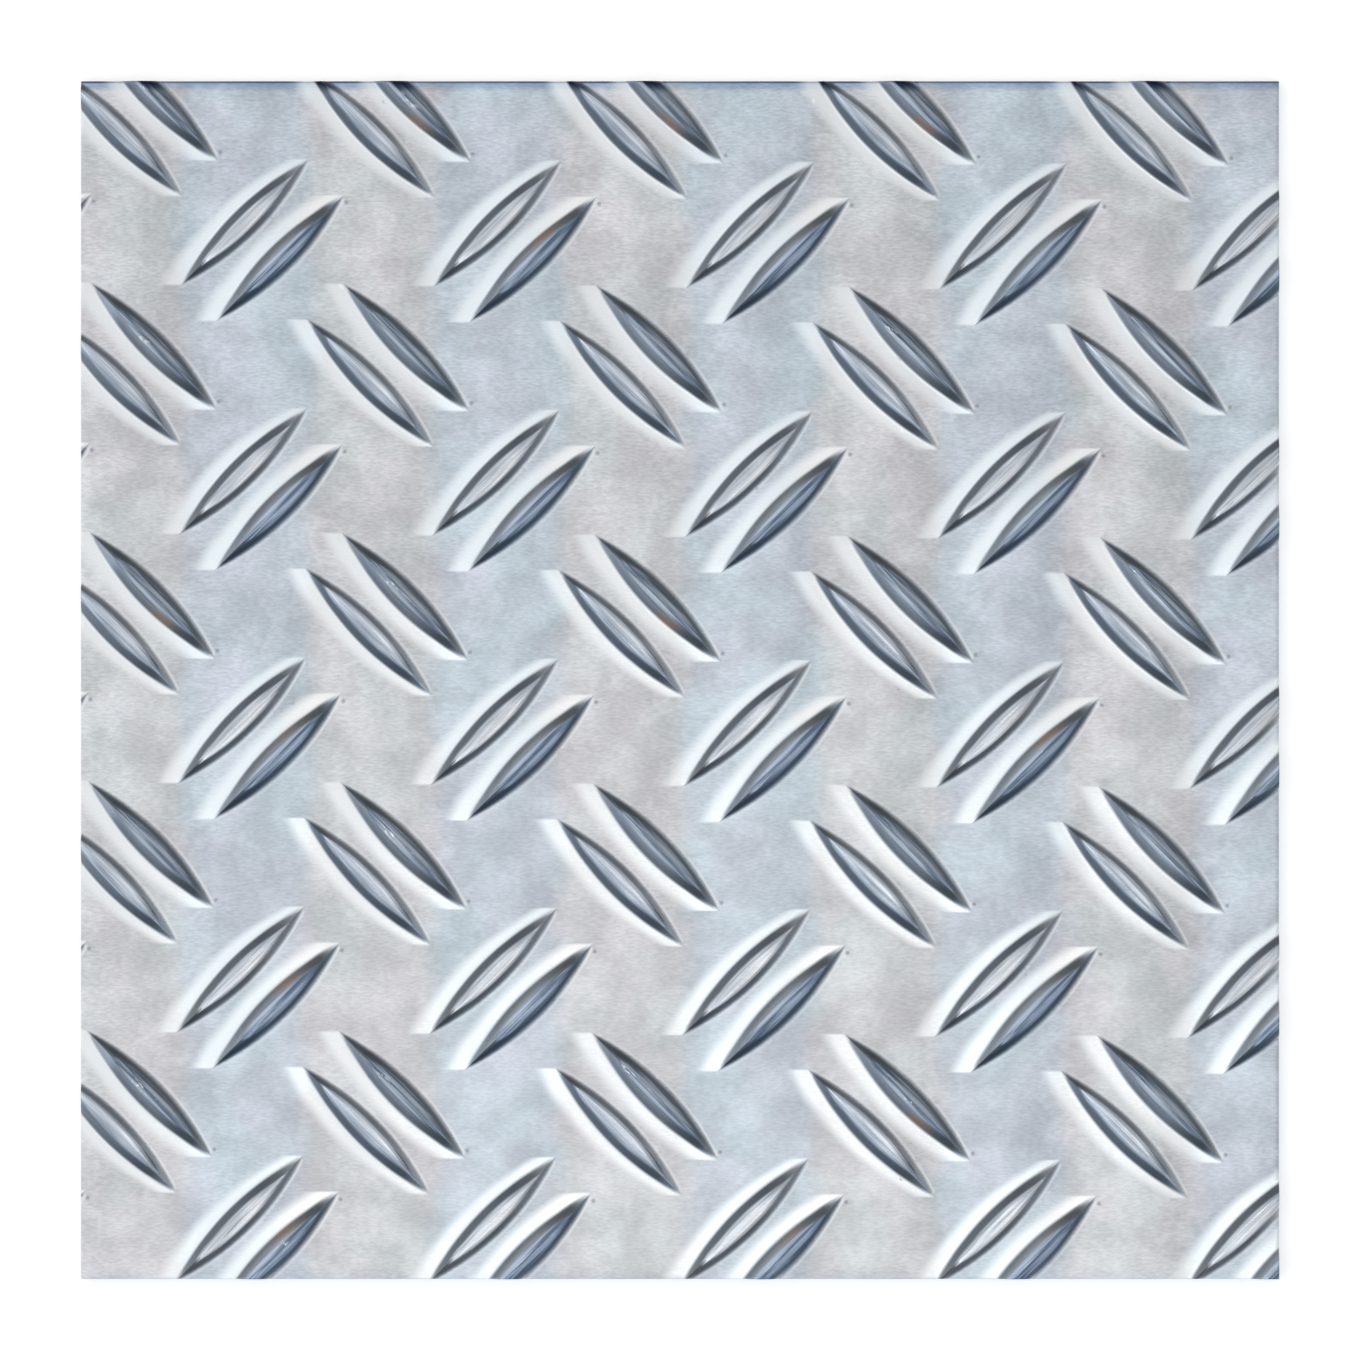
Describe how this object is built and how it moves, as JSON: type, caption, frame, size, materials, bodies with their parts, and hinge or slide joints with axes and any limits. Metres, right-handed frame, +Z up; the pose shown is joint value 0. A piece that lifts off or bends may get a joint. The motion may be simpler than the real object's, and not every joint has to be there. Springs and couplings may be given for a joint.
{
  "type": "embossed aluminium sheet",
  "caption": "Flat square of bright aluminium tread sheet, with raised tapered bars lying in pairs that lean right and left in turn.",
  "frame": {"origin": "middle of the plain back, which lies on the floor", "axes": "+Z up through the raised bars, +X along the rolling direction, +Y towards the edge that the shear rounded"},
  "size_m": [0.2, 0.2, 0.004],
  "materials": {
    "rolled_aluminium": "bright mill finish, rolled, burnished beside the bars"
  },
  "bodies": {
    "root": {"embossed_sheet": "rolled_aluminium"}
  },
  "joints": []
}
